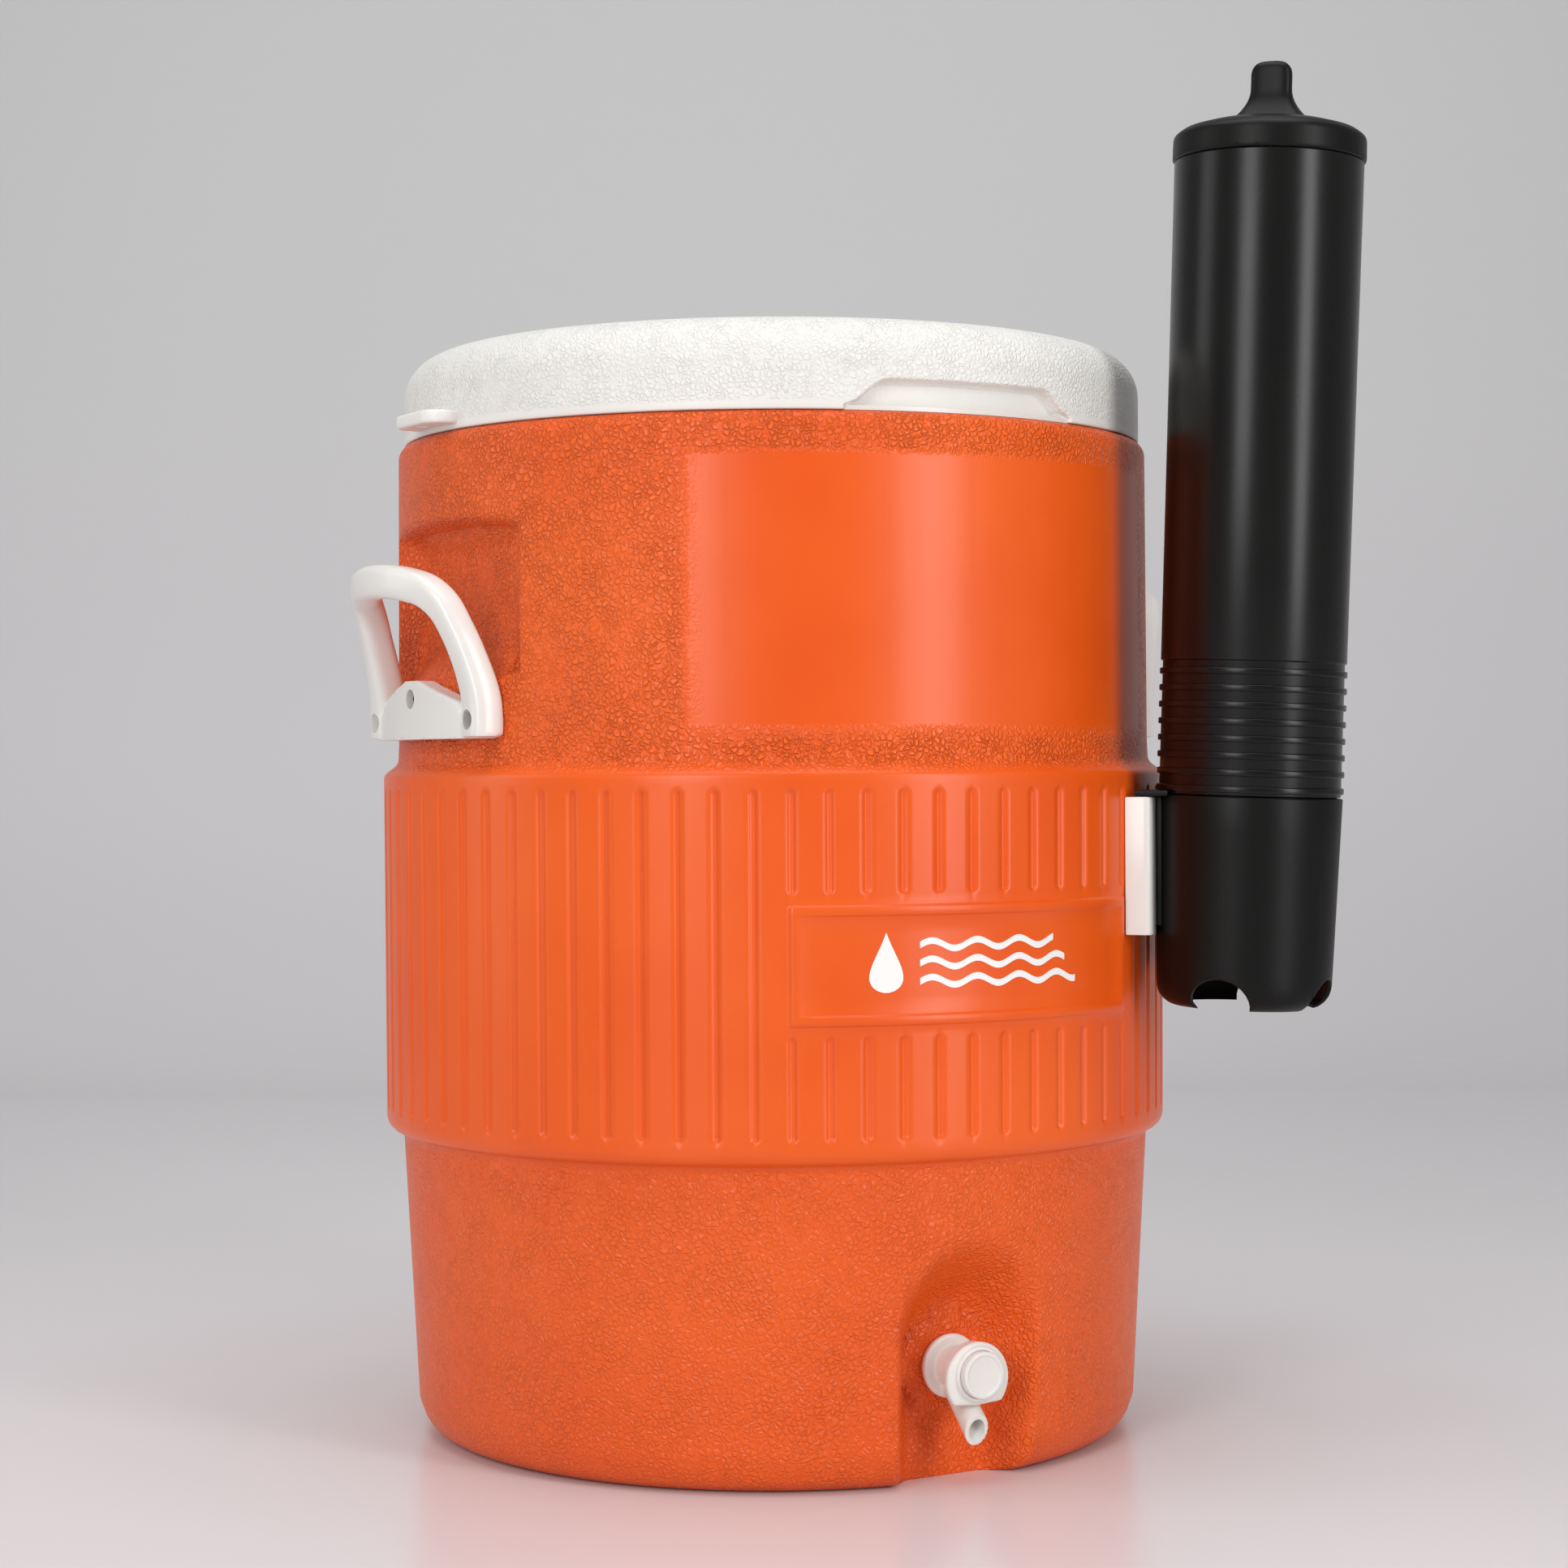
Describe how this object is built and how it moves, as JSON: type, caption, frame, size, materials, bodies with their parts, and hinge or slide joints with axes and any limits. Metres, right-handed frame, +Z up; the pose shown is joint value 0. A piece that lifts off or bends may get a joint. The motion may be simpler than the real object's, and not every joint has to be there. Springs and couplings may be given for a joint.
{
  "type": "beverage dispenser",
  "caption": "Insulated round drinking water cooler with lift-off lid, side handles, push tap and a clip-on tube that dispenses paper cups.",
  "frame": {"origin": "centre of the cooler's flat base, on its upright axis at floor level", "axes": "+Z up along the cooler's axis; the tap and label panel face -Y; the handles are on -X and +X; the cup dispenser is 38 degrees from -Y towards +X"},
  "size_m": [0.467, 0.4606, 0.6891],
  "materials": {
    "orange_polyethylene": "moulded orange polyethylene with a leather grain",
    "white_polyethylene": "moulded white polyethylene, fine grain",
    "white_gloss": "glossy white moulded plastic",
    "liner_white": "smooth white food grade plastic",
    "foam": "closed cell polyurethane foam",
    "steel": "stainless steel, cross recess",
    "spring_steel": "spring wire",
    "grey_nylon": "moulded nylon",
    "silicone": "soft translucent silicone",
    "seal_rubber": "soft white sealing rubber",
    "black_rubber": "black flexible rubber strap",
    "black_satin": "satin black moulded plastic",
    "black_matte": "matte black moulded plastic"
  },
  "bodies": {
    "cooler": {"outer_shell": "orange_polyethylene", "foam_insulation": "foam", "inner_liner": "liner_white", "foam_fill_plug": "orange_polyethylene", "left_handle": "white_gloss", "right_handle": "white_gloss", "left_handle_screws": "steel", "right_handle_screws": "steel", "left_handle_inserts": "grey_nylon", "right_handle_inserts": "grey_nylon", "tap_body": "white_gloss", "tap_bonnet": "white_gloss", "tap_outer_gasket": "silicone", "tap_inner_gasket": "silicone", "tap_lock_nut": "white_gloss", "tap_spring": "spring_steel", "dispenser_mount": "white_gloss", "dispenser_mount_screws": "steel", "dispenser_mount_inserts": "grey_nylon", "lid_tether": "black_rubber"},
    "lid": {"lid_shell": "white_polyethylene", "lid_foam": "foam", "lid_liner": "liner_white", "lid_seal": "seal_rubber"},
    "button": {"tap_button": "white_gloss", "tap_stem": "white_gloss", "tap_valve_seal": "silicone"},
    "dispenser": {"dispenser_sleeve": "black_matte", "dispenser_tube": "black_satin"},
    "cap": {"dispenser_cap": "black_matte"}
  },
  "joints": [
    {"name": "lid_lift", "type": "slide", "parent": "cooler", "child": "lid", "axis": [0, 0, 1], "range_m": [0, 0.06], "deforming": ["lid_tether"]},
    {"name": "tap_press", "type": "slide", "parent": "cooler", "child": "button", "axis": [0, 1, 0], "range_m": [0, 0.0042], "stiffness_N_per_m": 900, "springref_m": -0.004, "deforming": ["tap_spring"]},
    {"name": "dispenser_lift", "type": "slide", "parent": "cooler", "child": "dispenser", "axis": [0, 0, 1], "range_m": [0, 0.075]},
    {"name": "cap_lift", "type": "slide", "parent": "dispenser", "child": "cap", "axis": [0.0224, -0.0287, 0.9993], "range_m": [0, 0.05]}
  ]
}
